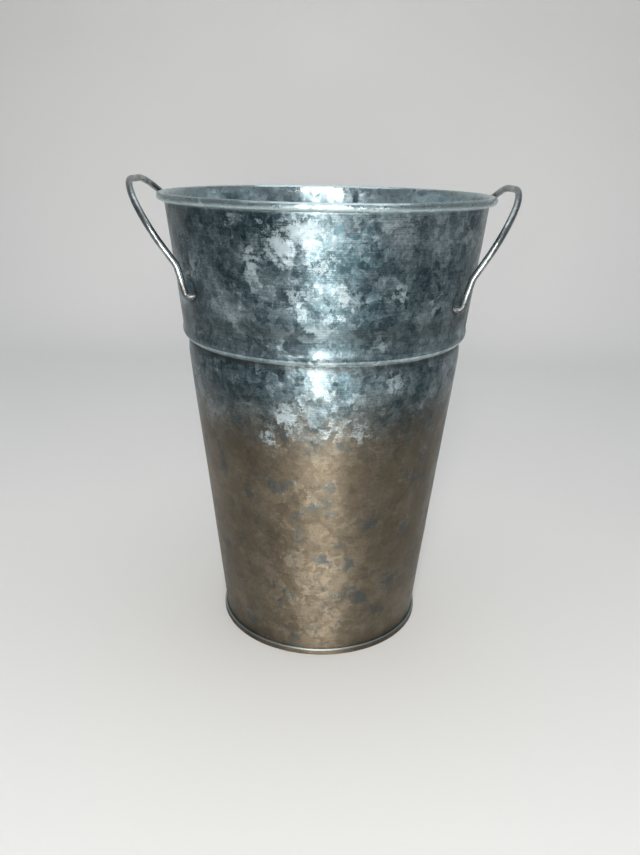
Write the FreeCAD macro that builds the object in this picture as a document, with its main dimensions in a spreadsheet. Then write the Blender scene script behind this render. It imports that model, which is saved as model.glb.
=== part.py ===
import FreeCAD
import Part
import math
import os
import Sketcher
from FreeCAD import Placement, Rotation, Vector

# A galvanised florist bucket: a tapered sheet-metal wall with a wired rim, a swaged shoulder and a
# vertical lock seam, a recessed base pan double-seamed onto the wall's foot, and two wire handles whose
# ends hook through holes in the wall. Millimetres, +Z up, origin on the axis at the bottom of the foot.
# The handles stand on the -X and +X sides, and the lock seam runs up the back, at +Y.

DIMENSIONS = {
    # Sheet and wire
    "sheet_thickness": 0.45,
    "fold_gap": 0.04,
    "rim_wire_radius": 1.4,
    "rim_wire_gap": 1.0,
    "handle_wire_radius": 1.6,
    # Outer face of the wall, from the foot to the rim
    "bucket_height": 228.6,
    "rim_radius": 81.8,
    "curl_radius": 1.9,
    "curl_return": 0.7,
    "foot_radius": 53.3,
    "foot_height": 3.6,
    "cone_top_radius": 69.05,
    "cone_top_height": 150.0,
    "bead_bend": 30.0,
    "valley_bend": 0.6,
    "valley_height": 158.9,
    "bulge_bend": 5.0,
    "bulge_height": 164.0,
    "waist_bend": 12.0,
    "waist_height": 166.7,
    # Double seam at the foot
    "seam_height": 3.3,
    "body_hook_bottom": 0.9,
    "body_hook_top": 2.5,
    "cover_hook_bottom": 2.0,
    "channel_bend": 0.3,
    "panel_height": 4.85,
    "panel_bend": 1.0,
    "foot_sealant_width": 1.13,
    "foot_sealant_height": 0.36,
    # Vertical lock seam at the back
    "lock_seam_width": 6.0,
    "lock_seam_bottom": 3.4,
    "lock_seam_top": 221.5,
    "lock_slot_width": 3.1,
    "lock_slot_inset": 0.3,
    "lock_slot_depth": 0.3,
    "side_sealant_width": 3.0,
    "side_sealant_inset": 0.32,
    "side_sealant_depth": 0.26,
    # Handle holes
    "hole_width": 7.6,
    "hole_length": 9.6,
    "hole_drop": 2.3,
    "hole_tool_start": 60.0,
    "hole_tool_end": 85.0,
    "left_pivot_height": 184.0,
    "right_pivot_height": 180.2,
    # Handles
    "handle_half_spread": 41.5,
    "hook_outside": 2.4,
    "hook_inside": 3.0,
    "hook_bend": 2.0,
    "tail_rise": 15.0,
    "knee_rise": 14.0,
    "foot_flare": 8.0,
    "knee_bend": 9.0,
    "loop_length": 44.2,
    "loop_corner": 35.0,
    "left_lean": 36.0,
    "right_lean": 32.0,
}

START, END, CENTRE = 1, 2, 3    # the Sketcher's numbers for an edge's points
AXIS_LINE = -2                  # the Sketcher's own vertical axis
ORIGIN = -1                     # the Sketcher's own origin point
UPRIGHT = Placement(Vector(), Rotation(Vector(1, 0, 0), 90))   # sketch X is radius, sketch Y is height
BACK = 90.0                     # the lock seam's angle about the axis, from +X
SEAM_ARC = 10.0                 # an arc that is wider than the lock seam everywhere
HOLE_TOOL_LENGTH = "hole_tool_end - hole_tool_start"

doc = FreeCAD.newDocument("florist_bucket")


def make_sheet():
    sheet = doc.addObject("Spreadsheet::Sheet", "Dimensions")
    for row, (alias, value) in enumerate(DIMENSIONS.items(), start=1):
        sheet.set("A%d" % row, alias)
        sheet.set("B%d" % row, str(value))
        sheet.setAlias("B%d" % row, alias)
    doc.recompute()
    return sheet


def with_sheet(formula):
    """The formula, with each alias in it read from the sheet."""
    words = formula.replace("(", " ( ").replace(")", " ) ").split()
    return " ".join("Dimensions." + word if word in DIMENSIONS else word for word in words)


def bind(item, **formulas):
    for name, formula in formulas.items():
        item.setExpression(name, with_sheet(formula))


def bind_place(item, **formulas):
    for axis, formula in formulas.items():
        item.setExpression(".Placement.Base." + axis, with_sheet(formula))


class Outline:
    """A sketch whose edges are drawn near their places and then held by constraints."""

    def __init__(self, name):
        self.sketch = doc.addObject("Sketcher::SketchObject", name)
        self.sketch.Placement = UPRIGHT

    def line(self, first, last, construction=False):
        edge = Part.LineSegment(Vector(*first, 0), Vector(*last, 0))
        return self.sketch.addGeometry(edge, construction)

    def arc(self, centre, radius, first_angle, last_angle, construction=False):
        circle = Part.Circle(Vector(*centre, 0), Vector(0, 0, 1), radius)
        edge = Part.ArcOfCircle(circle, math.radians(first_angle), math.radians(last_angle))
        return self.sketch.addGeometry(edge, construction)

    def hold(self, kind, *where):
        return self.sketch.addConstraint(Sketcher.Constraint(kind, *where))

    def measure(self, kind, *where, formula):
        number = self.hold(kind, *where)
        self.sketch.setExpression("Constraints[%d]" % number, with_sheet(formula))

    def across(self, edge, point, near, formula):
        self.measure("DistanceX", ORIGIN, START, edge, point, near, formula=formula)

    def up(self, edge, point, near, formula):
        self.measure("DistanceY", ORIGIN, START, edge, point, near, formula=formula)

    def radius(self, edge, near, formula):
        self.measure("Radius", edge, near, formula=formula)


def wall_outline(name, folds):
    """The wall's outer face from foot to rim; its folded ends are construction lines unless asked for."""
    path = Outline(name)
    hidden = not folds
    hook = path.line((53.8, 2.5), (53.8, 1.6), hidden)
    turn = path.arc((53.6, 1.6), 0.27, 180, 360, hidden)
    foot = path.line((53.3, 1.6), (53.3, 3.6), hidden)
    cone = path.line((53.3, 3.6), (69.0, 150))
    bead = path.arc((39.2, 153.2), 30, -6, 11)
    valley = path.arc((69.3, 158.9), 0.6, 115, 191)
    bulge = path.arc((67.0, 164), 5, -65, 9)
    waist = path.arc((83.8, 166.7), 12, 174, 189)
    upper = path.line((71.8, 168), (78.5, 226.9))
    curl = path.arc((79.9, 226.7), 1.45, -119, 174, hidden)

    path.hold("Vertical", hook)
    path.hold("Vertical", foot)
    path.hold("Tangent", hook, END, turn, END)
    path.hold("Tangent", turn, START, foot, START)
    path.hold("Coincident", foot, END, cone, START)
    path.hold("Tangent", cone, END, bead, START)
    path.hold("Tangent", bead, END, valley, END)
    path.hold("Tangent", valley, START, bulge, START)
    path.hold("Tangent", bulge, END, waist, END)
    path.hold("Tangent", waist, START, upper, START)
    path.hold("Tangent", upper, END, curl, END)

    path.up(hook, START, 2.5, "body_hook_top")
    path.radius(turn, 0.265, "sheet_thickness / 2 + fold_gap")
    path.up(turn, CENTRE, 1.6, "body_hook_bottom + sheet_thickness * 3 / 2 + fold_gap")
    path.across(foot, END, 53.3, "foot_radius")
    path.up(foot, END, 3.6, "foot_height")
    path.across(cone, END, 69.0, "cone_top_radius")
    path.up(cone, END, 150, "cone_top_height")
    path.radius(bead, 30, "bead_bend")
    path.radius(valley, 0.6, "valley_bend")
    path.up(valley, CENTRE, 158.9, "valley_height")
    path.radius(bulge, 5, "bulge_bend")
    path.up(bulge, CENTRE, 164, "bulge_height")
    path.radius(waist, 12, "waist_bend")
    path.up(waist, CENTRE, 166.7, "waist_height")
    path.radius(curl, 1.45, "curl_radius - sheet_thickness")
    path.across(curl, CENTRE, 79.9, "rim_radius - curl_radius")
    path.up(curl, CENTRE, 226.7, "bucket_height - curl_radius")
    path.across(curl, START, 79.2, "rim_radius - curl_radius - curl_return")
    doc.recompute()
    return path.sketch, path.sketch.Geometry[upper]


def pan_outline():
    """The base pan's upper and channel faces, from the axis to the end of its cover hook."""
    path = Outline("pan_path")
    panel = path.line((0, 4.85), (51.8, 4.85))
    panel_corner = path.arc((51.8, 3.85), 1.0, 0, 90)
    side = path.line((52.8, 3.85), (52.8, 0.75))
    inner_corner = path.arc((53.1, 0.75), 0.3, 180, 270)
    floor = path.line((53.1, 0.45), (54.0, 0.45))
    outer_corner = path.arc((54.0, 0.75), 0.3, 270, 360)
    skirt = path.line((54.3, 0.75), (54.3, 2.6))
    turn = path.arc((54.05, 2.6), 0.27, 0, 180)
    hook = path.line((53.8, 2.6), (53.8, 2.0))

    path.hold("Horizontal", panel)
    path.hold("Vertical", side)
    path.hold("Horizontal", floor)
    path.hold("Vertical", skirt)
    path.hold("Vertical", hook)
    path.hold("Tangent", panel, END, panel_corner, END)
    path.hold("Tangent", panel_corner, START, side, START)
    path.hold("Tangent", side, END, inner_corner, START)
    path.hold("Tangent", inner_corner, END, floor, START)
    path.hold("Tangent", floor, END, outer_corner, START)
    path.hold("Tangent", outer_corner, END, skirt, START)
    path.hold("Tangent", skirt, END, turn, START)
    path.hold("Tangent", turn, END, hook, START)

    path.hold("PointOnObject", panel, START, AXIS_LINE)
    path.up(panel, START, 4.85, "panel_height")
    path.radius(panel_corner, 1.0, "panel_bend")
    path.across(side, END, 52.8, "foot_radius - sheet_thickness - fold_gap")
    path.radius(inner_corner, 0.3, "channel_bend")
    path.up(floor, START, 0.45, "sheet_thickness")
    path.radius(outer_corner, 0.3, "channel_bend")
    path.across(skirt, END, 54.3, "foot_radius + 2 * sheet_thickness + 3 * fold_gap")
    path.radius(turn, 0.265, "sheet_thickness / 2 + fold_gap")
    path.up(turn, CENTRE, 2.6, "seam_height - sheet_thickness * 3 / 2 - fold_gap")
    path.up(hook, END, 2.0, "cover_hook_bottom")
    doc.recompute()
    return path.sketch


def thicken(path, name, thickness, fill=True):
    """The section that the path sweeps when it moves sideways by the thickness."""
    section = doc.addObject("Part::Offset2D", name)
    section.Source = path
    section.Mode = "Skin"
    section.Fill = fill
    bind(section, Value=thickness)
    return section


def turned(section, name, angle=360.0, first=0.0):
    """The section turned about the bucket's axis."""
    solid = doc.addObject("Part::Revolution", name)
    solid.Source = section
    solid.Axis = Vector(0, 0, 1)
    solid.Angle = angle
    solid.Solid = True
    solid.Placement = Placement(Vector(), Rotation(Vector(0, 0, 1), first))
    return solid


def seam_strip(path, name, inset, depth, width):
    """A strip up the back that follows the wall, starting the inset outside its outer face."""
    start = thicken(path, name + "_face", "-( %s )" % inset, fill=False) if inset else path
    section = thicken(start, name + "_section", "-( %s )" % depth)
    layer = turned(section, name + "_layer", SEAM_ARC, BACK - SEAM_ARC / 2)
    window = doc.addObject("Part::Box", name + "_window")
    bind(window, Length=width, Width="rim_radius", Height="lock_seam_top - lock_seam_bottom")
    bind_place(window, x="-( %s ) / 2" % width, z="lock_seam_bottom")
    strip = doc.addObject("Part::MultiCommon", name)
    strip.Shapes = [layer, window]
    return strip


def hole_cutter(name, pivot_height, azimuth):
    """A slot with round ends, punched along a radius; the wire rests near its lower end."""
    low_centre = "hole_width / 2 - hole_drop"
    high_centre = "hole_length - hole_width / 2 - hole_drop"
    block = doc.addObject("Part::Box", name + "_block")
    bind(block, Length=HOLE_TOOL_LENGTH, Width="hole_width", Height="hole_length - hole_width")
    bind_place(block, x="hole_tool_start", y="hole_width / -2", z=low_centre)
    pieces = [block]
    for end_name, centre in (("lower_end", low_centre), ("upper_end", high_centre)):
        end = doc.addObject("Part::Cylinder", name + "_" + end_name)
        end.Placement = Placement(Vector(), Rotation(Vector(0, 1, 0), 90))
        bind(end, Radius="hole_width / 2", Height=HOLE_TOOL_LENGTH)
        bind_place(end, x="hole_tool_start", z=centre)
        pieces.append(end)
    cutter = doc.addObject("Part::MultiFuse", name)
    cutter.Shapes = pieces
    cutter.Placement = Placement(Vector(), Rotation(Vector(0, 0, 1), azimuth))
    bind_place(cutter, z=pivot_height)
    return cutter


def rounded_wire(corners, bends):
    """Straight runs through the corners, each inner corner turned by an arc of its own radius."""
    edges = []
    last = corners[0]
    for before, corner, after, bend in zip(corners, corners[1:], corners[2:], bends):
        back = (before - corner).normalize()
        onward = (after - corner).normalize()
        half = back.getAngle(onward) / 2
        leave = corner + back * (bend / math.tan(half))
        arrive = corner + onward * (bend / math.tan(half))
        middle = corner + (back + onward).normalize() * (bend / math.sin(half) - bend)
        edges.append(Part.LineSegment(last, leave).toShape())
        edges.append(Part.Arc(leave, middle, arrive).toShape())
        last = arrive
    edges.append(Part.LineSegment(last, corners[-1]).toShape())
    return Part.Wire(edges)


def make_handle(name, side, wall_face):
    """One bent wire: tail up inside the wall, hook through the hole, foot, knee, leaning loop, and back."""
    size = {alias: sheet.get(alias) for alias in DIMENSIONS}
    pivot_height = size[name.replace("handle", "pivot_height")]
    lean = math.radians(size[name.replace("handle", "lean")])
    spread = size["handle_half_spread"]
    reach = math.sqrt(wall_face(pivot_height) ** 2 - spread ** 2)
    knee_rise = size["knee_rise"]
    wall_slope = (math.sqrt(wall_face(pivot_height + knee_rise) ** 2 - spread ** 2) - reach) / knee_rise
    foot_slope = math.tan(math.atan(wall_slope) + math.radians(size["foot_flare"]))

    tail = Vector(-size["hook_inside"] + wall_slope * size["tail_rise"], 0, size["tail_rise"])
    inside = Vector(-size["hook_inside"], 0, 0)
    outside = Vector(size["hook_outside"], 0, 0)
    knee = Vector(size["hook_outside"] + foot_slope * knee_rise, 0, knee_rise)
    top = knee + Vector(math.sin(lean), 0, math.cos(lean)) * size["loop_length"]
    half = [tail, inside, outside, knee, top]
    half_bends = [size["hook_bend"], size["hook_bend"], size["knee_bend"], size["loop_corner"]]

    front = [Vector(side * (reach + point.x), -spread, pivot_height + point.z) for point in half]
    rear = [Vector(point.x, spread, point.z) for point in reversed(front)]
    path = doc.addObject("Part::Feature", name + "_path")
    path.Shape = rounded_wire(front + rear, half_bends + half_bends[::-1])

    section = doc.addObject("Part::Circle", name + "_section")
    bind(section, Radius="handle_wire_radius")
    run = front[1] - front[0]
    section.Placement = Placement(front[0], Rotation(Vector(0, 0, 1), run))
    handle = doc.addObject("Part::Sweep", name)
    handle.Sections = [section]
    handle.Spine = (path, ["Edge%d" % (number + 1) for number in range(len(path.Shape.Edges))])
    handle.Solid = True
    return handle


sheet = make_sheet()
wall_path, upper_wall = wall_outline("wall_path", folds=True)
seam_path, _ = wall_outline("seam_path", folds=False)


def wall_face(height):
    """The radius of the outer face of the wall above the shoulder."""
    low, high = upper_wall.StartPoint, upper_wall.EndPoint
    return low.x + (high.x - low.x) * (height - low.y) / (high.y - low.y)


# Side wall: one rolled sheet, with the lock seam's extra layers, the slot for its sealant and the holes
shell = turned(thicken(wall_path, "wall_section", "sheet_thickness"), "wall_shell")
seam = seam_strip(seam_path, "lock_seam", None, "2 * sheet_thickness", "lock_seam_width")
slot = seam_strip(seam_path, "lock_slot", "lock_slot_inset", "lock_slot_depth", "lock_slot_width")
rolled = doc.addObject("Part::MultiFuse", "rolled_wall")
rolled.Shapes = [shell, seam]
cutters = [slot]
for side_name, middle, pivot in (("left", 180.0, "left_pivot_height"), ("right", 0.0, "right_pivot_height")):
    swing = math.degrees(math.asin(sheet.get("handle_half_spread") / wall_face(sheet.get(pivot))))
    for turn_name, turn in (("a", -swing), ("b", swing)):
        cutters.append(hole_cutter("%s_hole_%s" % (side_name, turn_name), pivot, middle + turn))
holes = doc.addObject("Part::MultiFuse", "wall_cutters")
holes.Shapes = cutters
side_wall = doc.addObject("Part::Cut", "side_wall")
side_wall.Base = rolled
side_wall.Tool = holes

# Sealant strip inside the lock seam
side_sealant = seam_strip(seam_path, "side_seam_sealant", "side_sealant_inset", "side_sealant_depth",
                          "side_sealant_width")

# Wire inside the rolled rim, its butted ends at the lock seam
rim_wire = doc.addObject("Part::Torus", "rim_wire")
bind(rim_wire, Radius1="rim_radius - curl_radius", Radius2="rim_wire_radius", Angle3="360 - rim_wire_gap")
rim_wire.Placement = Placement(Vector(), Rotation(Vector(0, 0, 1), BACK + sheet.get("rim_wire_gap") / 2))
bind_place(rim_wire, z="bucket_height - curl_radius")

# Base pan, its edge folded round the wall's foot
base_pan = turned(thicken(pan_outline(), "pan_section", "-( sheet_thickness )"), "base_pan")

# Sealant ring in the bottom of the pan's channel
ring_outer = doc.addObject("Part::Cylinder", "foot_sealant_outer")
ring_inner = doc.addObject("Part::Cylinder", "foot_sealant_inner")
bind(ring_outer, Radius="foot_radius - channel_bend + foot_sealant_width", Height="foot_sealant_height")
bind(ring_inner, Radius="foot_radius - channel_bend", Height="foot_sealant_height")
foot_sealant = doc.addObject("Part::Cut", "base_seam_sealant")
foot_sealant.Base = ring_outer
foot_sealant.Tool = ring_inner
bind_place(foot_sealant, z="sheet_thickness + fold_gap")

# Handles
left_handle = make_handle("left_handle", -1, wall_face)
right_handle = make_handle("right_handle", 1, wall_face)

doc.recompute()

sub_parts = [side_wall, base_pan, rim_wire, foot_sealant, side_sealant, left_handle, right_handle]
for item in doc.Objects:
    if "Invalid" in item.State or "Error" in item.State:
        raise RuntimeError("%s is %s" % (item.Name, item.State))
os.makedirs("parts", exist_ok=True)
for item in sub_parts:
    if item.Shape.isNull() or not item.Shape.isValid():
        raise RuntimeError("%s has no valid shape" % item.Label)
    box = item.Shape.BoundBox
    print("%-18s solids %d  volume %9.1f  X %.1f..%.1f  Y %.1f..%.1f  Z %.1f..%.1f" % (
        item.Label, len(item.Shape.Solids), item.Shape.Volume,
        box.XMin, box.XMax, box.YMin, box.YMax, box.ZMin, box.ZMax))
    item.Shape.exportStep("parts/%s.step" % item.Label)
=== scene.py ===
import math

import bmesh
import bpy
from mathutils import Matrix, Vector, noise


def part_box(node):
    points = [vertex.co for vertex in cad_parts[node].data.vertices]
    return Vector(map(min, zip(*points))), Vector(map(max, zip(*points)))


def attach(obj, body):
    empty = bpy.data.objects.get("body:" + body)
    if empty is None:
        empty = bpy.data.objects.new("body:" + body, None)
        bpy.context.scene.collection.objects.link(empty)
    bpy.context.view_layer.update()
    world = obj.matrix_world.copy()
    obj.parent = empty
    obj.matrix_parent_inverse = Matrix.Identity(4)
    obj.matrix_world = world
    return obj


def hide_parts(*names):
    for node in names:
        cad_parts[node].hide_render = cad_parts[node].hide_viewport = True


# A galvanised florist bucket in a plain studio. Metres, +Z up, origin on the axis at the foot. The sheet
# and wire pieces are rebuilt here as finer meshes on the frame's dimensions; the wire in the rim and the
# two beads of sealant are the frame's own pieces with a finish of their own.

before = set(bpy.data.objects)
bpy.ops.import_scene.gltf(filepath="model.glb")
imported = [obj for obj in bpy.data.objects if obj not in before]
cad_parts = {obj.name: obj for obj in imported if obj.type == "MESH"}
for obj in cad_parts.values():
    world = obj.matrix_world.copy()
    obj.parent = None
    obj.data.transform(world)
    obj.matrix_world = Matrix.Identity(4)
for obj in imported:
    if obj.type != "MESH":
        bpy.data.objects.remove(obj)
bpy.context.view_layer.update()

MM = 0.001
noise.seed_set(15)                            # noise_vector follows this seed, or else the clock

# Sheet metal; the outer sizes are the frame's
wall_low, wall_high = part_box("side_wall")
pan_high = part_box("base_pan")[1]
SHEET = 0.45 * MM
FOLD_GAP = 0.04 * MM
FOOT_RADIUS = 53.3 * MM
FOOT_HEIGHT = 3.6 * MM
HOOK_TOP = 2.5 * MM
CONE_TOP_RADIUS = 69.05 * MM
CONE_TOP_HEIGHT = 150 * MM
BEAD_BEND = 30 * MM
VALLEY_BEND = 0.6 * MM
VALLEY_HEIGHT = 158.9 * MM
BULGE_BEND = 5 * MM
BULGE_HEIGHT = 164 * MM
WAIST_BEND = 12 * MM
WAIST_HEIGHT = 166.7 * MM
CURL_RADIUS = 1.9 * MM
CURL_RETURN = 0.7 * MM
SEAM_HEIGHT = 3.3 * MM
PANEL_BEND = 1.0 * MM
CHANNEL_BEND = 0.3 * MM
COVER_HOOK_BOTTOM = 2.0 * MM
LOCK_HALF_WIDTH = 3.0 * MM
LOCK_BOTTOM = 3.4 * MM
LOCK_TOP = 221.5 * MM
BACK = math.radians(90)
RIGHT = 0.0
LEFT = math.radians(180)

# Holes and handles; the heights are the frame's
left_low, left_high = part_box("left_handle")
right_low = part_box("right_handle")[0]
HALF_SPREAD = 41.5 * MM
WIRE_RADIUS = left_high.y - HALF_SPREAD
HOLE_WIDTH = 7.6 * MM
HOLE_LENGTH = 9.6 * MM
HOLE_DROP = 2.3 * MM
HOOK_OUTSIDE = 2.4 * MM
HOOK_INSIDE = 3.0 * MM
HOOK_BEND = 2.0 * MM
TAIL_RISE = 15.0 * MM
KNEE_RISE = 14.0 * MM
FOOT_FLARE = math.radians(8)
KNEE_BEND = 9.0 * MM
LOOP_LENGTH = 44.2 * MM
LOOP_CORNER = 35.0 * MM
LEFT_PIVOT = left_low.z + WIRE_RADIUS
RIGHT_PIVOT = right_low.z + WIRE_RADIUS
LEFT_LEAN = math.radians(36.0)
RIGHT_LEAN = math.radians(32.0)


def smoothstep(low, high, value):
    """0 at low and below, 1 at high and above, smooth in between."""
    share = min(1.0, max(0.0, (value - low) / (high - low)))
    return share * share * (3 - 2 * share)


def near(distance, reach):
    """1 at no distance, falling smoothly to 0 at the reach."""
    return 1 - smoothstep(0, reach, abs(distance))


# ---------------------------------------------------------------- the wall's outline
# Vectors of two numbers are radius and height.

OUTWARD, INWARD = 1, -1                       # where the next arc's centre lies
LEFTWARD, RIGHTWARD = 1, -1                   # where the sheet's other face lies, along a line
OUTSIDE, INSIDE = 1, -1                       # and round an arc


def left_of(run):
    return Vector((-run.y, run.x)).normalized()


def angle_of(vector):
    return math.atan2(vector.y, vector.x)


def turn_of(vector):
    """The same angle as a number from 0 to a whole turn."""
    return angle_of(vector) % math.tau


def next_centre(centre, bend, next_bend, height, way):
    """The centre, at its height, of an arc that runs on from the last one and bends the other way. way is
    OUTWARD or INWARD."""
    step = height - centre.y
    return Vector((centre.x + way * math.sqrt((bend + next_bend) ** 2 - step ** 2), height))


foot = Vector((FOOT_RADIUS, FOOT_HEIGHT))
cone_top = Vector((CONE_TOP_RADIUS, CONE_TOP_HEIGHT))
bead = cone_top + left_of(cone_top - foot) * BEAD_BEND
valley = next_centre(bead, BEAD_BEND, VALLEY_BEND, VALLEY_HEIGHT, OUTWARD)
bulge = next_centre(valley, VALLEY_BEND, BULGE_BEND, BULGE_HEIGHT, INWARD)
waist = next_centre(bulge, BULGE_BEND, WAIST_BEND, WAIST_HEIGHT, OUTWARD)
curl = Vector((wall_high.x - CURL_RADIUS, wall_high.z - CURL_RADIUS))
WIRE_SPACE = CURL_RADIUS - SHEET
upper_tilt = angle_of(curl - waist) - math.asin((WAIST_BEND - WIRE_SPACE) / (curl - waist).length)
upper_in = left_of(Vector((math.cos(upper_tilt), math.sin(upper_tilt))))
upper_low = waist + upper_in * WAIST_BEND
upper_high = curl + upper_in * WIRE_SPACE


def upper_radius(height):
    """The radius of the outer face between the shoulder and the rim."""
    return upper_low.x + (upper_high.x - upper_low.x) * (height - upper_low.y) / (upper_high.y - upper_low.y)


SAME_POINT = 0.02 * MM


class Section:
    """A sheet's first face as points, each with the direction in which its other face lies."""

    def __init__(self):
        self.points = []

    def add(self, point, across):
        if not self.points or (self.points[-1][0] - point).length > SAME_POINT:
            self.points.append((point, across))

    def line(self, first, last, steps, side):
        """A straight run. side is LEFTWARD or RIGHTWARD."""
        for step in range(steps + 1):
            self.add(first.lerp(last, step / steps), left_of(last - first) * side)

    def arc(self, centre, radius, first, last, steps, side):
        """An arc from the first angle to the last. side is OUTSIDE or INSIDE."""
        for step in range(steps + 1):
            angle = first + (last - first) * step / steps
            out = Vector((math.cos(angle), math.sin(angle)))
            self.add(centre + out * radius, out * side)

    def loop(self):
        """Both faces of the sheet as one closed loop of (point, outward direction, is the first face)."""
        first = [(point, -across, True) for point, across in self.points]
        other = [(point + across * SHEET, across, False) for point, across in reversed(self.points)]
        return first + other


def wall_section():
    """The outer face, from the end of the hook in the foot seam to the end of the curl round the rim wire."""
    section = Section()
    turn = SHEET / 2 + FOLD_GAP
    hook = Vector((FOOT_RADIUS + turn, wall_low.z + SHEET + turn))
    section.line(Vector((hook.x + turn, HOOK_TOP)), Vector((hook.x + turn, hook.y)), 2, LEFTWARD)
    section.arc(hook, turn, 0, -math.pi, 6, OUTSIDE)
    section.line(Vector((FOOT_RADIUS, hook.y)), foot, 4, LEFTWARD)
    section.line(foot, cone_top, 36, LEFTWARD)
    section.arc(bead, BEAD_BEND, angle_of(cone_top - bead), angle_of(valley - bead), 10, INSIDE)
    section.arc(valley, VALLEY_BEND, turn_of(bead - valley), turn_of(bulge - valley), 6, OUTSIDE)
    section.arc(bulge, BULGE_BEND, angle_of(valley - bulge), angle_of(waist - bulge), 12, INSIDE)
    section.arc(waist, WAIST_BEND, turn_of(bulge - waist), turn_of(upper_in), 6, OUTSIDE)
    section.line(upper_low, upper_high, 38, LEFTWARD)
    curl_end = math.acos(CURL_RETURN / WIRE_SPACE) - math.pi
    section.arc(curl, WIRE_SPACE, angle_of(upper_in), curl_end, 24, OUTSIDE)
    return section.loop()


def pan_section():
    """The upper face of the pan's panel, down its channel and over the wall's hook."""
    section = Section()
    channel = FOOT_RADIUS - SHEET - FOLD_GAP
    skirt = pan_high.x - SHEET
    turn = SHEET / 2 + FOLD_GAP
    panel = pan_high.z
    low = SHEET + CHANNEL_BEND
    top = SEAM_HEIGHT - SHEET - turn
    section.line(Vector((0, panel)), Vector((channel - PANEL_BEND, panel)), 40, RIGHTWARD)
    section.arc(Vector((channel - PANEL_BEND, panel - PANEL_BEND)), PANEL_BEND, math.pi / 2, 0, 6, INSIDE)
    section.line(Vector((channel, panel - PANEL_BEND)), Vector((channel, low)), 3, RIGHTWARD)
    section.arc(Vector((channel + CHANNEL_BEND, low)), CHANNEL_BEND, math.pi, math.pi * 1.5, 4, OUTSIDE)
    section.line(Vector((channel + CHANNEL_BEND, SHEET)), Vector((skirt - CHANNEL_BEND, SHEET)), 3, RIGHTWARD)
    section.arc(Vector((skirt - CHANNEL_BEND, low)), CHANNEL_BEND, -math.pi / 2, 0, 4, OUTSIDE)
    section.line(Vector((skirt, low)), Vector((skirt, top)), 3, RIGHTWARD)
    section.arc(Vector((skirt - turn, top)), turn, 0, math.pi, 10, OUTSIDE)
    section.line(Vector((skirt - 2 * turn, top)), Vector((skirt - 2 * turn, COVER_HOOK_BOTTOM)), 2, RIGHTWARD)
    return section.loop()


# ---------------------------------------------------------------- meshes

def revolve(name, loop, columns, place):
    """The loop turned about the axis. A column is an angle and a distance along the sheet from there.
    place(angle, that distance, point, outward direction, is it the first face) gives where a point goes."""
    vertices = []
    for point, out, is_first in loop:
        for angle, along in columns:
            turn = angle + along / max(point.x, MM)
            spot = place(turn, along, point, out, is_first)
            vertices.append((spot.x * math.cos(turn), spot.x * math.sin(turn), spot.y))
    rows, count = len(loop), len(columns)
    faces = []
    for row in range(rows):
        for column in range(count):
            corners = ((row, column), (row, column + 1), (row + 1, column + 1), (row + 1, column))
            faces.append([(r % rows) * count + c % count for r, c in corners])
    mesh = bpy.data.meshes.new(name)
    mesh.from_pydata(vertices, [], faces)
    work = bmesh.new()
    work.from_mesh(mesh)
    bmesh.ops.remove_doubles(work, verts=work.verts, dist=0.004 * MM)
    work.to_mesh(mesh)
    work.free()
    return mesh


def smooth_but_for_corners(mesh):
    corner = math.radians(38)
    work = bmesh.new()
    work.from_mesh(mesh)
    bmesh.ops.recalc_face_normals(work, faces=work.faces)
    for face in work.faces:
        face.smooth = True
    for edge in work.edges:
        edge.smooth = len(edge.link_faces) == 2 and edge.calc_face_angle(0) < corner
    work.to_mesh(mesh)
    work.free()


def mark(mesh, name, value):
    """Stores value(vertex place) on the mesh, for the finish to read."""
    layer = mesh.attributes.new(name, "FLOAT", "POINT")
    for vertex in mesh.vertices:
        layer.data[vertex.index].value = value(vertex.co)


def finished(name, mesh, body, material, replaced):
    """A piece of the visual model, in place of a CAD node."""
    piece = bpy.data.objects.new(name, mesh)
    bpy.context.scene.collection.objects.link(piece)
    mesh.materials.append(material)
    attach(piece, body)
    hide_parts(replaced)
    return piece


# ---------------------------------------------------------------- side wall

def hole_places():
    """The middle of each wire where it goes through the wall: its angle round the wall and its height."""
    for middle, pivot in ((LEFT, LEFT_PIVOT), (RIGHT, RIGHT_PIVOT)):
        swing = math.asin(HALF_SPREAD / upper_radius(pivot))
        for way in (-1, 1):
            yield middle + way * swing, pivot


def across_from(turn, angle, radius):
    """How far round the wall one angle is from another."""
    return math.remainder(turn - angle, math.tau) * radius


HOLES = list(hole_places())
HOLE_RISE = HOLE_LENGTH / 2 - HOLE_DROP       # from the wire's middle up to the slot's middle
SLOT_HALF_RUN = (HOLE_LENGTH - HOLE_WIDTH) / 2
HOLE_ROUND = 8 * MM                           # how far on each side of a hole the columns are close
SWELL, RIPPLE = 0.32 * MM, 0.07 * MM
DENTS = [                                     # angle in degrees, height, reach and depth in millimetres
    (-118, 74, 15, 0.35), (-62, 112, 11, 0.25), (-97, 36, 9, 0.2), (-74, 196, 12, 0.22), (-131, 206, 10, 0.2),
    (-20, 92, 16, 0.4), (24, 188, 12, 0.3), (41, 52, 13, 0.35), (118, 128, 14, 0.35), (146, 66, 12, 0.3),
    (168, 122, 17, 0.4), (205, 48, 11, 0.25), (73, 204, 9, 0.25),
]


def hole_distance(turn, height):
    """How far outside the edge of the nearest hole a place on the wall is."""
    nearest = 1.0
    for angle, pivot in HOLES:
        across = across_from(turn, angle, upper_radius(pivot))
        above = height - pivot - HOLE_RISE
        beyond = max(0.0, abs(above) - SLOT_HALF_RUN)
        nearest = min(nearest, math.hypot(across, beyond) - HOLE_WIDTH / 2)
    return nearest


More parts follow.
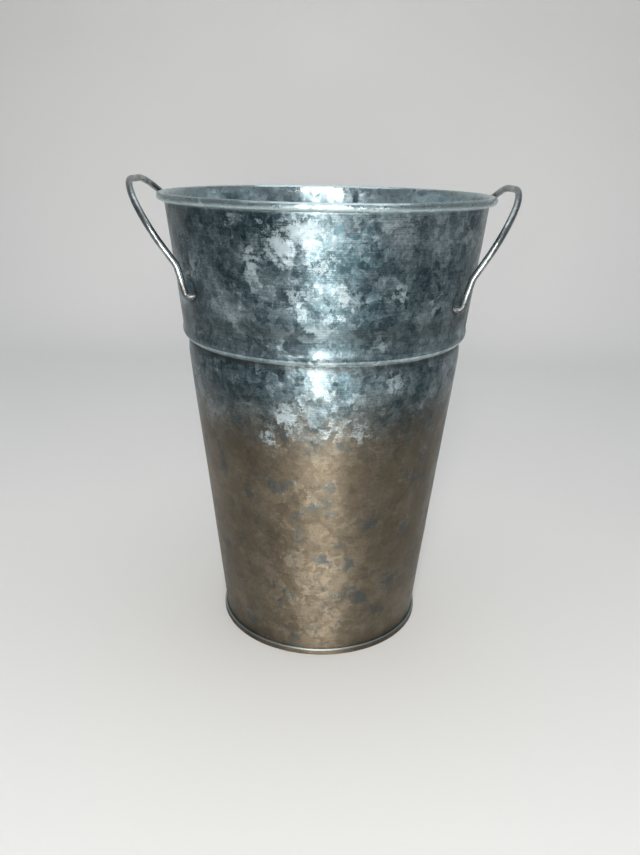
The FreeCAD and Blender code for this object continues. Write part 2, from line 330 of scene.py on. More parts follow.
def unevenness(turn, point):
    """How far the rolled sheet stands in or out of a true cone. The seams, rim, shoulder and holes hold
    it true."""
    height = point.y
    calm = smoothstep(5 * MM, 30 * MM, height) * (1 - smoothstep(205 * MM, 224 * MM, height))
    calm *= 1 - 0.8 * near(height - VALLEY_HEIGHT, 14 * MM)
    calm *= smoothstep(2 * MM, 20 * MM, hole_distance(turn, height))
    spot = Vector((math.cos(turn), math.sin(turn), height / (90 * MM)))
    swell = SWELL * noise.noise(spot * 1.7) + RIPPLE * noise.noise(spot * 6 + Vector((7, 3, 1)))
    for angle, level, reach, depth in DENTS:
        gone = math.hypot(across_from(turn, math.radians(angle), point.x), height - level * MM)
        swell -= depth * MM * near(gone, reach * MM) ** 2
    return swell * calm


# The lock seam's face: millimetres from its middle, and how far it stands proud as a share of its height
LOCK_FACE = [(3.4, 0), (3.04, 0.02), (3.0, 0.5), (2.94, 0.76), (2.78, 0.93), (2.5, 1.0), (1.6, 1.02),
             (0.6, 0.99)]


def lock_columns():
    """The lock seam's columns from left to right: how far each is from the middle and how proud."""
    right = [(along * MM, proud) for along, proud in LOCK_FACE]
    return [(-along, proud) for along, proud in right] + [(0.0, 0.98)] + right[::-1]


PROUD = dict(lock_columns())
PUNCHED_IN = 0.12 * MM
LOCK_ROOM = 4.2 * MM                          # free of the wall's own columns, on each side of the lock seam


def wall_place(turn, along, point, out, is_first):
    """A place on the wall: off true with the sheet, pushed in at a hole's edge, proud at the lock seam."""
    spot = point.copy()
    spot.x += unevenness(turn, point) - PUNCHED_IN * near(hole_distance(turn, point.y), 4 * MM)
    if is_first and (along or turn == BACK) and LOCK_BOTTOM < point.y < LOCK_TOP:
        press = 1 + 0.05 * noise.noise(Vector((0, 0, point.y / (7 * MM))))
        spot += out * (2 * SHEET * PROUD[along] * press)
    return spot


def wall_columns():
    """A column every 1.5 degrees, closer beside the holes, and the lock seam's own columns at the back."""
    columns = []
    for half_degree in range(720):
        turn = math.radians(half_degree / 2)
        beside_hole = any(abs(across_from(turn, angle, upper_radius(pivot))) < HOLE_ROUND
                          for angle, pivot in HOLES)
        clear_of_lock = abs(across_from(turn, BACK, FOOT_RADIUS)) > LOCK_ROOM
        if clear_of_lock and (half_degree % 3 == 0 or beside_hole):
            columns.append((turn, 0.0))
    columns += [(BACK, along) for along, _ in lock_columns()]
    return sorted(columns, key=lambda column: (column[0], -column[1]))


def hole_cutters():
    """Four slots with round ends, pushed through the wall along its radii."""
    work = bmesh.new()
    for angle, pivot in HOLES:
        outline = []
        for step in range(33):
            turn = math.pi * step / 16
            # The upper half of the circle ends the slot above, the lower half below
            middle = HOLE_RISE + math.copysign(SLOT_HALF_RUN, math.cos(turn - math.pi / 2 + 0.001))
            outline.append((math.cos(turn) * HOLE_WIDTH / 2, middle + math.sin(turn) * HOLE_WIDTH / 2))
        place = Matrix.Translation((0, 0, pivot)) @ Matrix.Rotation(angle, 4, "Z")
        rings = [[work.verts.new(place @ Vector((reach, y, z))) for y, z in outline]
                 for reach in (upper_radius(pivot) - 9 * MM, upper_radius(pivot) + 9 * MM)]
        for inner, outer, next_outer, next_inner in zip(rings[0], rings[1], rings[1][1:] + rings[1][:1],
                                                        rings[0][1:] + rings[0][:1]):
            work.faces.new((inner, outer, next_outer, next_inner))
        work.faces.new(rings[0])
        work.faces.new(rings[1][::-1])
    bmesh.ops.remove_doubles(work, verts=work.verts, dist=0.001 * MM)
    bmesh.ops.recalc_face_normals(work, faces=work.faces)
    mesh = bpy.data.meshes.new("hole_cutters")
    work.to_mesh(mesh)
    work.free()
    return mesh


def cut_away(mesh, tool_mesh):
    """The mesh with the tool's solids cut out of it."""
    body, tool = bpy.data.objects.new("body", mesh), bpy.data.objects.new("tool", tool_mesh)
    for item in (body, tool):
        bpy.context.scene.collection.objects.link(item)
    cut = body.modifiers.new("cut", "BOOLEAN")
    cut.operation, cut.object, cut.solver = "DIFFERENCE", tool, "EXACT"
    result = bpy.data.meshes.new_from_object(body.evaluated_get(bpy.context.evaluated_depsgraph_get()))
    result.name = mesh.name
    for item in (body, tool):
        bpy.data.objects.remove(item)
    bpy.data.meshes.remove(tool_mesh)
    return result


def wall_dirt_and_shade(spot):
    """Where the wall is darker, with dirt and a painted shade in its creases: at the shoulder, above the foot
    seam, round the holes and beside the lock seam.
    """
    turn, height = math.atan2(spot.y, spot.x), spot.z
    dirt_and_shade = max(near(height - VALLEY_HEIGHT, 3.2 * MM), 0.5 * near(height - VALLEY_HEIGHT - 15 * MM, 8 * MM))
    dirt_and_shade = max(dirt_and_shade, 0.8 * near(height - SEAM_HEIGHT, 7 * MM))
    dirt_and_shade = max(dirt_and_shade, 0.9 * near(max(0.0, hole_distance(turn, height)), 2.6 * MM))
    beside = abs(across_from(turn, BACK, spot.xy.length)) - LOCK_HALF_WIDTH
    return max(dirt_and_shade, 0.7 * near(max(0.0, beside), 1.6 * MM) if beside > -0.3 * MM else 0.0)


# Frosted zinc; the strongest patches, on the front, are partly a painted highlight
FROSTED_AND_HIGHLIT = [                                   # angle in degrees, height and reach in millimetres, strength
    (-104, 209, 13, 1.0), (-97, 215, 13, 1.0), (-92, 203, 11, 0.9), (-110, 219, 9, 0.6), (-84, 190, 10, 0.6),
    (-102, 190, 11, 0.6), (-114, 205, 9, 0.5), (-88, 180, 9, 0.6), (-63, 189, 10, 0.6), (-121, 181, 10, 0.5),
    (-52, 212, 9, 0.35), (-104, 134, 11, 0.7), (-112, 126, 9, 0.8), (-88, 128, 9, 0.7), (-62, 149, 9, 0.7),
    (-75, 127, 8, 0.6), (10, 200, 13, 0.7), (62, 190, 15, 0.6), (130, 205, 13, 0.7), (170, 190, 13, 0.5),
    (215, 198, 13, 0.6), (30, 140, 12, 0.6), (104, 135, 12, 0.5), (150, 128, 12, 0.6), (200, 138, 10, 0.5),
]


def wall_frost_and_highlight(spot):
    """Where the zinc is frosted with bright crystals; the strongest patches, on the front, are partly a
    painted highlight.
    """
    turn = math.atan2(spot.y, spot.x)
    frost_and_highlight = 0.0
    for angle, level, reach, strength in FROSTED_AND_HIGHLIT:
        gone = math.hypot(across_from(turn, math.radians(angle), spot.xy.length), spot.z - level * MM)
        frost_and_highlight = max(frost_and_highlight, strength * near(gone, reach * MM))
    return frost_and_highlight


def wall_wear_and_highlight(spot):
    """Where the zinc is lighter, partly worn bright by handling and partly a painted highlight: the rolled
    rim, the shoulder's crest and the lock seam's face.
    """
    turn, height = math.atan2(spot.y, spot.x), spot.z
    wear_and_highlight = smoothstep(curl.y - 2.4 * MM, curl.y - 1.2 * MM, height)
    wear_and_highlight = max(wear_and_highlight, 0.12 * near(height - BULGE_HEIGHT - 1 * MM, 4 * MM))
    beside = abs(across_from(turn, BACK, spot.xy.length))
    return max(wear_and_highlight, 0.45 if beside < LOCK_HALF_WIDTH else 0.0)


def make_wall(material):
    mesh = cut_away(revolve("side_wall_sheet", wall_section(), wall_columns(), wall_place), hole_cutters())
    smooth_but_for_corners(mesh)
    mark(mesh, "dirt_and_shade", wall_dirt_and_shade)
    mark(mesh, "wear_and_highlight", wall_wear_and_highlight)
    mark(mesh, "frost_and_highlight", wall_frost_and_highlight)
    return finished("side_wall_sheet", mesh, "bucket", material, "side_wall")


# ---------------------------------------------------------------- base pan

def pan_place(turn, _along, point, _out, _is_first):
    """A place on the pan, whose panel dishes and ripples a little inside its rim."""
    spot = point.copy()
    free = 1 - smoothstep(30 * MM, FOOT_RADIUS - 6 * MM, point.x)
    ripple = noise.noise(Vector((math.cos(turn), math.sin(turn), 0)) * point.x / (22 * MM))
    spot.y += (0.12 * MM * ripple - 0.3 * MM) * free
    return spot


def pan_darkening(spot):
    """The panel's edge is darker, and all that is below the foot seam's top."""
    return near(spot.xy.length - FOOT_RADIUS + 3 * MM, 6 * MM) if spot.z > SEAM_HEIGHT else 0.5


def pan_painted_highlight(spot):
    """A painted highlight: the foot seam's top is painted bright, in a thin line."""
    return near(spot.z - SEAM_HEIGHT, 0.6 * MM) if spot.xy.length > FOOT_RADIUS else 0.0


def make_pan(material):
    columns = [(math.radians(degree), 0.0) for degree in range(0, 360, 2)]
    mesh = revolve("base_pan_sheet", pan_section(), columns, pan_place)
    smooth_but_for_corners(mesh)
    mark(mesh, "dirt_and_shade", pan_darkening)
    mark(mesh, "wear_and_highlight", pan_painted_highlight)
    return finished("base_pan_sheet", mesh, "bucket", material, "base_pan")


# ---------------------------------------------------------------- handles

def handle_corners(side, pivot, lean):
    """The wire's corners, from one tail inside the wall out through its hole and round the loop to the other.
    side is -1 on the left and 1 on the right."""
    reach = math.sqrt(upper_radius(pivot) ** 2 - HALF_SPREAD ** 2)
    slope = (math.sqrt(upper_radius(pivot + KNEE_RISE) ** 2 - HALF_SPREAD ** 2) - reach) / KNEE_RISE
    flare = math.tan(math.atan(slope) + FOOT_FLARE)
    half = [Vector((slope * TAIL_RISE - HOOK_INSIDE, 0, TAIL_RISE)), Vector((-HOOK_INSIDE, 0, 0)),
            Vector((HOOK_OUTSIDE, 0, 0)), Vector((HOOK_OUTSIDE + flare * KNEE_RISE, 0, KNEE_RISE))]
    half.append(half[-1] + Vector((math.sin(lean), 0, math.cos(lean))) * LOOP_LENGTH)
    front = [Vector((side * (reach + point.x), -HALF_SPREAD, pivot + point.z)) for point in half]
    return front + [Vector((point.x, HALF_SPREAD, point.z)) for point in reversed(front)]


def rounded_path(corners, bends, spacing):
    """Points, about the spacing apart, along the runs between the corners and the arcs that round them."""
    points = []
    last = corners[0]
    for before, corner, after, bend in zip(corners, corners[1:], corners[2:], bends):
        back, onward = (before - corner).normalized(), (after - corner).normalized()
        half = back.angle(onward) / 2
        leave, arrive = corner + back * bend / math.tan(half), corner + onward * bend / math.tan(half)
        centre = corner + (back + onward).normalized() * bend / math.sin(half)
        runs = max(1, round((leave - last).length / spacing))
        points += [last.lerp(leave, step / runs) for step in range(runs)]
        sweep = math.pi - 2 * half
        turns = max(6, round(sweep * bend / spacing))
        axis = (leave - centre).cross(arrive - centre).normalized()
        points += [centre + Matrix.Rotation(sweep * step / turns, 3, axis) @ (leave - centre)
                   for step in range(turns)]
        last = arrive
    runs = max(1, round((corners[-1] - last).length / spacing))
    return points + [last.lerp(corners[-1], step / runs) for step in range(runs + 1)]


def tube(name, points, radius, sides=28):
    """A round bar along the points, its cut ends bevelled."""
    cut = 0.35 * MM
    runs = [(points[1] - points[0]).normalized(), (points[-1] - points[-2]).normalized()]
    rings = [(points[0], radius - cut), (points[0] + runs[0] * cut, radius)]
    rings += [(point, radius) for point in points[1:-1]]
    rings += [(points[-1] - runs[1] * cut, radius), (points[-1], radius - cut)]
    work = bmesh.new()
    previous, across = None, None
    for index, (point, reach) in enumerate(rings):
        before, after = rings[max(0, index - 1)][0], rings[min(len(rings) - 1, index + 1)][0]
        run = (after - before).normalized()
        across = (run.orthogonal() if across is None else across - run * across.dot(run)).normalized()
        ring = []
        for side in range(sides):
            turn = math.tau * side / sides
            out = across * math.cos(turn) + run.cross(across) * math.sin(turn)
            ring.append(work.verts.new(point + out * reach))
        if previous:
            for side in range(sides):
                work.faces.new((previous[side - 1], previous[side], ring[side], ring[side - 1]))
        else:
            work.faces.new(ring[::-1])
        previous = ring
    work.faces.new(previous)
    mesh = bpy.data.meshes.new(name)
    work.to_mesh(mesh)
    work.free()
    return mesh


def hand_bent(points, pivot, seed):
    """The points, where the loop strays a little as hand-bent wire does. Its hooks don't."""
    strayed = []
    for point in points:
        free = smoothstep(pivot + 16 * MM, pivot + 32 * MM, point.z)
        spot = point / (26 * MM) + Vector((seed, 0, 0))
        strayed.append(point + free * 0.28 * MM * noise.noise_vector(spot))
    return strayed


def make_handle(side_name, side, pivot, lean, seed, material):
    bends = [HOOK_BEND, HOOK_BEND, KNEE_BEND, LOOP_CORNER]
    path = rounded_path(handle_corners(side, pivot, lean), bends + bends[::-1], 1.1 * MM)
    name = side_name + "_handle_wire"
    mesh = tube(name, hand_bent(path, pivot, seed), WIRE_RADIUS)
    smooth_but_for_corners(mesh)
    # The wire is darker near its hooks: a painted shade where it goes into the wall
    mark(mesh, "dirt_and_shade", lambda spot: near(max(0.0, spot.z - pivot - 2 * MM), 7 * MM))
    return finished(name, mesh, side_name + "_handle", material, side_name + "_handle")


# ---------------------------------------------------------------- finishes

# Colours by tone, from dull crystals to bright ones
UPPER_ZINC = ((0.28, (0.032, 0.056, 0.068)), (0.52, (0.10, 0.145, 0.165)), (0.75, (0.22, 0.28, 0.305)),
              (1.0, (0.44, 0.52, 0.55)))
# below the shoulder: warm brown, a painted reflection of a wooden surface
LOWER_ZINC_WARM_REFLECTION = ((0.1, (0.100, 0.084, 0.062)), (0.55, (0.160, 0.134, 0.098)), (1.0, (0.26, 0.222, 0.168)))
# the inside, painted brighter as a painted reflection of the lights
INSIDE_ZINC_PAINTED_BRIGHT = ((0.25, (0.20, 0.27, 0.30)), (0.55, (0.46, 0.58, 0.62)), (0.9, (0.80, 0.90, 0.93)))
WIRE_ZINC = ((0.3, (0.14, 0.15, 0.152)), (0.5, (0.25, 0.27, 0.272)), (0.7, (0.40, 0.435, 0.44)))
PLAIN_STEEL = ((0.35, (0.10, 0.09, 0.085)), (0.6, (0.3, 0.3, 0.3)), (0.75, (0.42, 0.36, 0.3)))
SEALANT = ((0.3, (0.10, 0.105, 0.11)), (0.7, (0.21, 0.215, 0.22)))
STUDIO_PAINT = ((0.3, (0.66, 0.655, 0.64)), (0.7, (0.70, 0.695, 0.68)))

# below the shoulder at the back, without the painted warm reflection
LOWER_ZINC_BEHIND = (0.205, 0.205, 0.185)
MOTTLE = (0.075, 0.092, 0.098)
# frosted zinc, also the painted highlight's colour
FROST_AND_HIGHLIGHT = (0.35, 0.42, 0.45)
# worn zinc, and a painted highlight, on the edges
RUBBED_ZINC_AND_HIGHLIGHT = (0.52, 0.63, 0.65)
# dirt, and painted shade, in the creases
DIRT_AND_SHADE = (0.062, 0.051, 0.040)
# painted shade on the wire near its hooks
WIRE_PAINTED_SHADE = (0.045, 0.047, 0.046)


class Finish:
    """A material on the Principled shader, built a node at a time."""

    def __init__(self, name, **constants):
        self.material = bpy.data.materials.new(name)
        self.material.use_nodes = True
        self.tree = self.material.node_tree
        self.shader = self.tree.nodes["Principled BSDF"]
        self.set(**constants)

    def put(self, socket, value):
        """Links or sets an input."""
        if isinstance(value, bpy.types.NodeSocket):
            self.tree.links.new(value, socket)
        else:
            socket.default_value = value

    def node(self, kind, inputs, **settings):
        """A new node with these inputs, each by its name or number, and these settings."""
        made = self.tree.nodes.new("ShaderNode" + kind)
        for name, value in settings.items():
            setattr(made, name, value)
        for name, value in inputs.items():
            self.put(made.inputs[name], value)
        return made

    def place(self):
        return self.node("TexCoord", {}).outputs["Object"]

    def marked(self, name):
        """What mark() stored on the mesh."""
        return self.node("Attribute", {}, attribute_name=name).outputs["Fac"]

    def noise(self, place, size, detail, rough, swirl=0.0, output="Fac"):
        inputs = {"Vector": place, "Scale": 1 / size, "Detail": detail, "Roughness": rough,
                  "Distortion": swirl}
        return self.node("TexNoise", inputs).outputs[output]

    def cells(self, place, size, softness):
        """Cells of one random colour each, which run into each other by the softness."""
        inputs = {"Vector": place, "Scale": 1 / size, "Smoothness": softness}
        return self.node("TexVoronoi", inputs, feature="SMOOTH_F1").outputs["Color"]

    def maths(self, operation, *values):
        return self.node("Math", dict(enumerate(values)), operation=operation).outputs[0]

    def times(self, value, factor):
        return self.maths("MULTIPLY", value, factor)

    def add(self, value, factor, rest):
        """The rest plus the value times the factor."""
        return self.maths("MULTIPLY_ADD", value, factor, rest)

    def sway(self, pattern, amount, rest):
        """The rest, taken up or down by as much as half the amount where the pattern runs from 0 to 1."""
        return self.add(self.maths("SUBTRACT", pattern, 0.5), amount, rest)

    def vector(self, operation, *values):
        made = self.node("VectorMath", dict(enumerate(values)), operation=operation)
        return made.outputs["Value" if operation == "DOT_PRODUCT" else "Vector"]

    def stretch(self, place, sizes):
        """The place for a pattern of size 1 that comes out with these sizes along X, Y and Z."""
        return self.vector("MULTIPLY", place, tuple(1 / size for size in sizes))

    def span(self, value, low, high, to_low=0.0, to_high=1.0):
        """to_low at low, to_high at high, smooth in between."""
        inputs = {"Value": value, "From Min": low, "From Max": high, "To Min": to_low, "To Max": to_high}
        return self.node("MapRange", inputs, interpolation_type="SMOOTHSTEP").outputs[0]

    def ramp(self, value, stops):
        """A colour from stops of (value, colour)."""
        made = self.node("ValToRGB", {"Fac": value})
        elements = made.color_ramp.elements
        while len(elements) < len(stops):
            elements.new(0.5)
        for element, (position, colour) in zip(elements, stops):
            element.position, element.color = position, (*colour, 1)
        return made.outputs["Color"]

    def mix(self, share, first, second):
        """The first colour, and the second where the share is 1."""
        made = self.node("Mix", {0: share}, data_type="RGBA")
        for index, value in ((6, first), (7, second)):
            self.put(made.inputs[index], value if isinstance(value, bpy.types.NodeSocket) else (*value, 1))
        return made.outputs[2]

    def split(self, vector):
        return self.node("SeparateXYZ", {0: vector}).outputs

    def relief(self, *layers, normal=None):
        """Bumps on top of each other, each a pattern and its depth in metres, on a normal if one is given."""
        for height, depth in layers:
            inputs = {"Height": height, "Strength": 1.0, "Distance": depth}
            made = self.node("Bump", inputs if normal is None else {**inputs, "Normal": normal})
            normal = made.outputs[0]
        self.put(self.shader.inputs["Normal"], normal)

    def set(self, **inputs):
        """Links or sets the shader's own inputs."""
        for socket, value in inputs.items():
            self.put(self.shader.inputs[socket.replace("_", " ")], value)


def zinc_crystals(finish, place):
    """Zinc crystals in two sizes with ragged edges, and feathers that run each large crystal's own way. Gives
    the warped places, the large and the small cells' random colours, the tone of it all and the feathers."""
    warp = finish.noise(place, 5 * MM, 5, 0.68, output="Color")
    ragged = finish.vector("MULTIPLY_ADD", warp, (9 * MM,) * 3, place)
    large, small = finish.cells(ragged, 8 * MM, 0.16), finish.cells(ragged, 2.6 * MM, 0.2)
    large_tone, small_tone = finish.split(large)[0], finish.split(small)[1]
    axis = finish.vector("SUBTRACT", large, (0.5, 0.5, 0.5))
    grain_place = finish.node("VectorRotate", {"Vector": ragged, "Axis": axis,
                                               "Angle": finish.times(large_tone, math.tau)},
                              rotation_type="AXIS_ANGLE").outputs[0]
    feathers = finish.noise(finish.stretch(grain_place, (0.6 * MM, 0.6 * MM, 3.5 * MM)), 1.0, 3, 0.6)
    tone = finish.add(large_tone, 0.24, finish.times(small_tone, 0.3))
    tone = finish.add(feathers, 0.56, tone)
    return ragged, large, small, tone, feathers


def galvanised_sheet(name):
    finish = Finish(name, Anisotropic=0.7, Anisotropic_Rotation=0.25)
    around = finish.node("Tangent", {}, direction_type="RADIAL", axis="Z").outputs[0]
    finish.set(Tangent=around)
    place = finish.place()
    _, depth, height = finish.split(place)
    normal = finish.node("NewGeometry", {}).outputs["Normal"]
    ragged, large, small, tone, feathers = zinc_crystals(finish, place)

    # Clouds of brighter and duller zinc, and scratches from rolling that run round the wall
    clouds = finish.noise(place, 34 * MM, 5, 0.6, 0.4)
    scratches = finish.noise(finish.stretch(place, (16 * MM, 16 * MM, 0.3 * MM)), 1.0, 3, 0.65)
    speckle = finish.noise(place, 1.2 * MM, 4, 0.7)
    shade = finish.sway(clouds, 1.2, tone)
    shade = finish.sway(scratches, 0.45, shade)
    shade = finish.sway(speckle, 0.55, shade)
    upper = finish.ramp(shade, UPPER_ZINC)

    # Below the shoulder the coating is smoother, with blue-grey mottles; its warm brown is a painted
    # reflection of a wooden surface, so it is greyer at the back
    patches = finish.noise(ragged, 11 * MM, 4, 0.6, 0.2)
    behind = finish.span(depth, -15 * MM, 40 * MM)
    mottle = finish.span(patches, 0.54, 0.66)
    lower = finish.mix(finish.times(behind, 0.7), finish.ramp(shade, LOWER_ZINC_WARM_REFLECTION), LOWER_ZINC_BEHIND)
    lower = finish.mix(finish.times(mottle, 0.7), lower, MOTTLE)
    lowness = finish.span(finish.add(patches, -55 * MM, height), 124 * MM, 84 * MM)
    colour = finish.mix(lowness, upper, lower)

    # Frosted crystals, partly a painted highlight where they gather on the front
    frost_and_highlight = finish.add(finish.marked("frost_and_highlight"), 0.5, finish.times(tone, 0.85))
    frost_and_highlight = finish.sway(patches, 0.9, frost_and_highlight)
    frost_and_highlight = finish.sway(speckle, 0.6, frost_and_highlight)
    frost_and_highlight = finish.sway(scratches, 0.45, frost_and_highlight)
    frost_and_highlight = finish.span(finish.add(lowness, -0.12, frost_and_highlight), 0.6, 0.92)
    colour = finish.mix(finish.times(frost_and_highlight, 0.85), colour, FROST_AND_HIGHLIGHT)

    # The inside, whose faces look towards the axis, is painted brighter: a painted reflection of the lights
    inside = finish.span(finish.vector("DOT_PRODUCT", normal, place), 10 * MM, -10 * MM)
    colour = finish.mix(inside, colour, finish.ramp(shade, INSIDE_ZINC_PAINTED_BRIGHT))

    # Dirt with a painted shade in the creases, and wear with a painted highlight on the edges
    dirt_and_shade = finish.times(finish.marked("dirt_and_shade"), finish.span(speckle, 0.3, 0.62))
    wear_and_highlight = finish.times(finish.marked("wear_and_highlight"), finish.span(clouds, 0.1, 0.35))
    colour = finish.mix(finish.times(dirt_and_shade, 0.75), colour, DIRT_AND_SHADE)
    colour = finish.mix(finish.times(wear_and_highlight, 0.8), colour, RUBBED_ZINC_AND_HIGHLIGHT)
    dull = finish.add(frost_and_highlight, 0.12, finish.span(finish.split(small)[1], 0, 1, 0.32, 0.46))
    dull = finish.add(wear_and_highlight, -0.08, dull)
    dull = finish.add(lowness, 0.1, dull)
    dull = finish.add(dirt_and_shade, 0.25, dull)
    finish.set(Base_Color=colour, Metallic=finish.add(frost_and_highlight, -0.3, 1.0), Roughness=dull)

    # Each crystal's face tilts its own way; then feathers, fine grain and scratches
    half = (0.5, 0.5, 0.5)
    small_lean = finish.vector("SUBTRACT", small, half)
    lean = finish.vector("MULTIPLY_ADD", small_lean, (0.6, 0.6, 0.6), finish.vector("SUBTRACT", large, half))
    most = finish.span(lowness, 0, 1, 0.16, 0.03)
    lean = finish.node("VectorMath", {0: lean, "Scale": most}, operation="SCALE").outputs[0]
    tilted = finish.vector("NORMALIZE", finish.vector("ADD", lean, normal))
    finish.relief((feathers, 0.035 * MM), (speckle, 0.02 * MM), (scratches, 0.012 * MM), normal=tilted)
    return finish.material


def galvanised_wire(name):
    finish = Finish(name, Metallic=1.0)
    place = finish.place()
    blotch = finish.noise(place, 7 * MM, 5, 0.6)
    grain = finish.noise(place, 0.8 * MM, 3, 0.6)
    # Painted shade on the wire near its hooks
    dirt_and_shade = finish.times(finish.marked("dirt_and_shade"), finish.span(grain, 0.25, 0.6))
    colour = finish.mix(finish.times(dirt_and_shade, 0.85), finish.ramp(blotch, WIRE_ZINC), WIRE_PAINTED_SHADE)
    dull = finish.add(dirt_and_shade, 0.3, finish.span(blotch, 0.3, 0.7, 0.34, 0.22))
    finish.set(Base_Color=colour, Roughness=dull)
    finish.relief((blotch, 0.25 * MM), (grain, 0.04 * MM))
    return finish.material


def dull_wire(name):
    finish = Finish(name, Metallic=1.0)
    scale = finish.noise(finish.place(), 2.5 * MM, 5, 0.65)
    finish.set(Base_Color=finish.ramp(scale, PLAIN_STEEL), Roughness=finish.span(scale, 0.3, 0.7, 0.35, 0.6))
    finish.relief((scale, 0.06 * MM))
    return finish.material


def sealant(name):
    finish = Finish(name, Metallic=0.0)
    lumps = finish.noise(finish.place(), 1.6 * MM, 4, 0.6)
    finish.set(Base_Color=finish.ramp(lumps, SEALANT), Roughness=finish.span(lumps, 0.3, 0.7, 0.45, 0.7))
    finish.relief((lumps, 0.05 * MM))
    return finish.material


def repaint(node, material):
    """The frame's own piece, with a finish of its own."""
    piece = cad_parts[node]
    piece.data.materials.clear()
    piece.data.materials.append(material)


# ---------------------------------------------------------------- studio

FLOOR_BACK, FLOOR_SIDE, FLOOR_FRONT = 1.0, 3.0, -4.0
WALL_TOP, WALL_BEND, WALL_CORNER = 2.6, 0.45, 1.5
CORNER_STEPS = 16


def sweep_plan():
    """The foot of the studio's walls from the front on the right round to the front on the left, each point
    with the direction into the studio."""
    middle_y = FLOOR_BACK - WALL_CORNER
    plan = [(Vector((FLOOR_SIDE, FLOOR_FRONT)), Vector((-1, 0)))]
    for middle_x, first in ((FLOOR_SIDE - WALL_CORNER, 0), (WALL_CORNER - FLOOR_SIDE, math.pi / 2)):
        for step in range(CORNER_STEPS + 1):
            turn = first + math.pi / 2 * step / CORNER_STEPS
            out = Vector((math.cos(turn), math.sin(turn)))
            plan.append((Vector((middle_x, middle_y)) + out * WALL_CORNER, -out))
    return plan + [(Vector((-FLOOR_SIDE, FLOOR_FRONT)), Vector((1, 0)))]


def sweep_rise():
    """How far in and how high the wall stands, up the bend from the floor and on to its top."""
    turns = [math.pi / 2 * step / CORNER_STEPS for step in range(CORNER_STEPS + 1)]
    bend = [(WALL_BEND * (1 - math.sin(turn)), WALL_BEND * (1 - math.cos(turn))) for turn in turns]
    return bend + [(0, WALL_TOP)]


def make_sweep():
    """A pale floor that curves up into pale walls behind the bucket and on its sides, open at the front."""
    plan, rise = sweep_plan(), sweep_rise()
    vertices, faces = [], []
    for wall, inward in plan:
        vertices.append((0, min(wall.y, FLOOR_BACK - WALL_CORNER), 0))
        for inset, height in rise:
            spot = wall + inward * inset
            vertices.append((spot.x, spot.y, height))
    count = len(rise) + 1
    for row in range(len(plan) - 1):
        for column in range(count - 1):
            corner = row * count + column
            faces.append((corner, corner + 1, corner + count + 1, corner + count))
    mesh = bpy.data.meshes.new("studio_floor")
    mesh.from_pydata(vertices, [], faces)
    work = bmesh.new()
    work.from_mesh(mesh)
    bmesh.ops.remove_doubles(work, verts=work.verts, dist=MM)
    bmesh.ops.recalc_face_normals(work, faces=work.faces)
    work.to_mesh(mesh)
    work.free()
    for face in mesh.polygons:
        face.use_smooth = True
    finish = Finish("studio_floor", Metallic=0.0, Roughness=0.85)
    finish.set(Base_Color=finish.ramp(finish.noise(finish.place(), 0.6, 3, 0.5), STUDIO_PAINT))
    mesh.materials.append(finish.material)
    floor = bpy.data.objects.new("studio_floor", mesh)
    bpy.context.scene.collection.objects.link(floor)


def make_light(name, place, size, watts, colour, spread=180, target=(0, 0, 0.12)):
    """A panel that faces its target. Its size is a width and a height, its spread in degrees."""
    lamp = bpy.data.lights.new(name, "AREA")
    lamp.shape = "RECTANGLE"
    lamp.size, lamp.size_y = size
    lamp.energy, lamp.color, lamp.spread = watts, colour, math.radians(spread)
    light = bpy.data.objects.new(name, lamp)
    light.visible_camera = False
    light.location = place
    light.rotation_mode = "QUATERNION"
    light.rotation_quaternion = (Vector(target) - Vector(place)).to_track_quat("-Z", "Y")
    bpy.context.scene.collection.objects.link(light)


def make_lights():
    make_light("key", (-0.08, -1.3, 0.85), (0.3, 0.6), 11.5, (1.0, 0.985, 0.96))
    make_light("front", (0.0, -0.95, 0.18), (0.5, 0.24), 1.85, (1.0, 0.97, 0.92), spread=70,
               target=(0, 0, -0.03))
    make_light("top", (0.1, 0.1, 1.8), (1.6, 1.4), 12, (0.96, 0.98, 1.0))


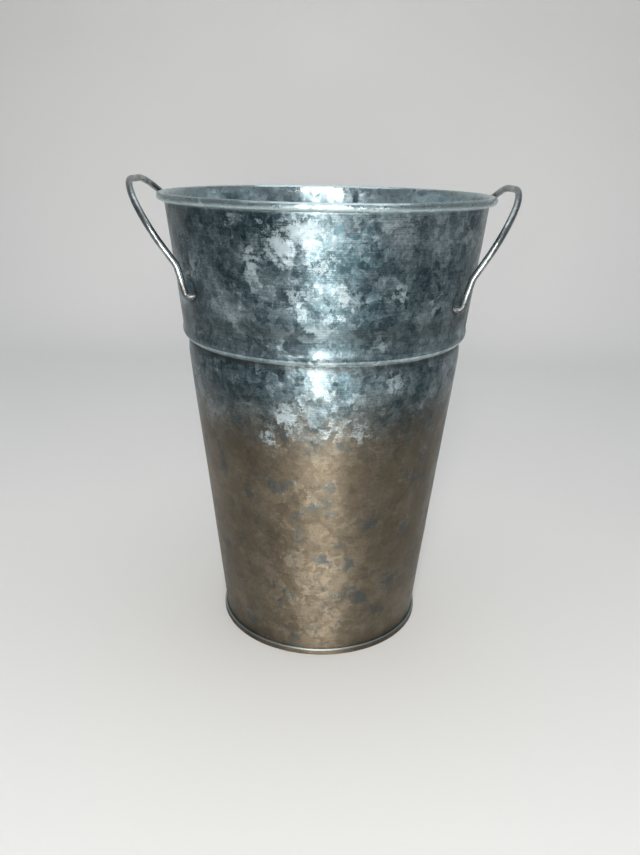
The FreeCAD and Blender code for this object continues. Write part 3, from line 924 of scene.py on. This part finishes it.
def make_world():
    """A pale blue-grey sky, dimmer in front of the bucket, where the camera stands, than behind it."""
    world = bpy.data.worlds.new("studio")
    world.use_nodes = True
    tree = world.node_tree
    way = tree.nodes.new("ShaderNodeSeparateXYZ")
    ramp = tree.nodes.new("ShaderNodeMapRange")
    settings = {"From Min": -0.8, "From Max": 0.6, "To Min": 0.22, "To Max": 0.5}
    for name, value in settings.items():
        ramp.inputs[name].default_value = value
    background = tree.nodes["Background"]
    background.inputs["Color"].default_value = (0.82, 0.9, 1.0, 1)
    tree.links.new(tree.nodes.new("ShaderNodeTexCoord").outputs["Generated"], way.inputs[0])
    tree.links.new(way.outputs["Y"], ramp.inputs["Value"])
    tree.links.new(ramp.outputs[0], background.inputs["Strength"])
    bpy.context.scene.world = world


# The photograph's viewpoint in millimetres and degrees, from a fit to the bucket's rim, shoulder and foot
SENSOR_WIDTH, FOCAL_LENGTH = 36, 32.15
CAMERA_PLACE = (0, -389.19, 247.29)
CAMERA_TURN, CAMERA_PITCH, CAMERA_ROLL = 0.197, -19.88, 1.013


def make_camera():
    lens = bpy.data.cameras.new("camera")
    lens.sensor_width = SENSOR_WIDTH
    lens.lens = FOCAL_LENGTH
    camera = bpy.data.objects.new("camera", lens)
    camera.matrix_world = (Matrix.Translation(Vector(CAMERA_PLACE) * MM)
                           @ Matrix.Rotation(math.radians(CAMERA_TURN), 4, "Z")
                           @ Matrix.Rotation(math.radians(90 + CAMERA_PITCH), 4, "X")
                           @ Matrix.Rotation(math.radians(CAMERA_ROLL), 4, "Z"))
    bpy.context.scene.collection.objects.link(camera)
    bpy.context.scene.camera = camera


make_camera()
make_sweep()
make_lights()
make_world()

sheet_finish = galvanised_sheet("galvanised_sheet_finish")
wire_finish = galvanised_wire("galvanised_wire_finish")
make_wall(sheet_finish)
make_pan(sheet_finish)
make_handle("left", -1, LEFT_PIVOT, LEFT_LEAN, 3, wire_finish)
make_handle("right", 1, RIGHT_PIVOT, RIGHT_LEAN, 11, wire_finish)
repaint("rim_wire", dull_wire("rim_wire_finish"))
sealant_finish = sealant("sealant_finish")
repaint("base_seam_sealant", sealant_finish)
repaint("side_seam_sealant", sealant_finish)

bpy.context.scene.view_settings.view_transform = "Standard"
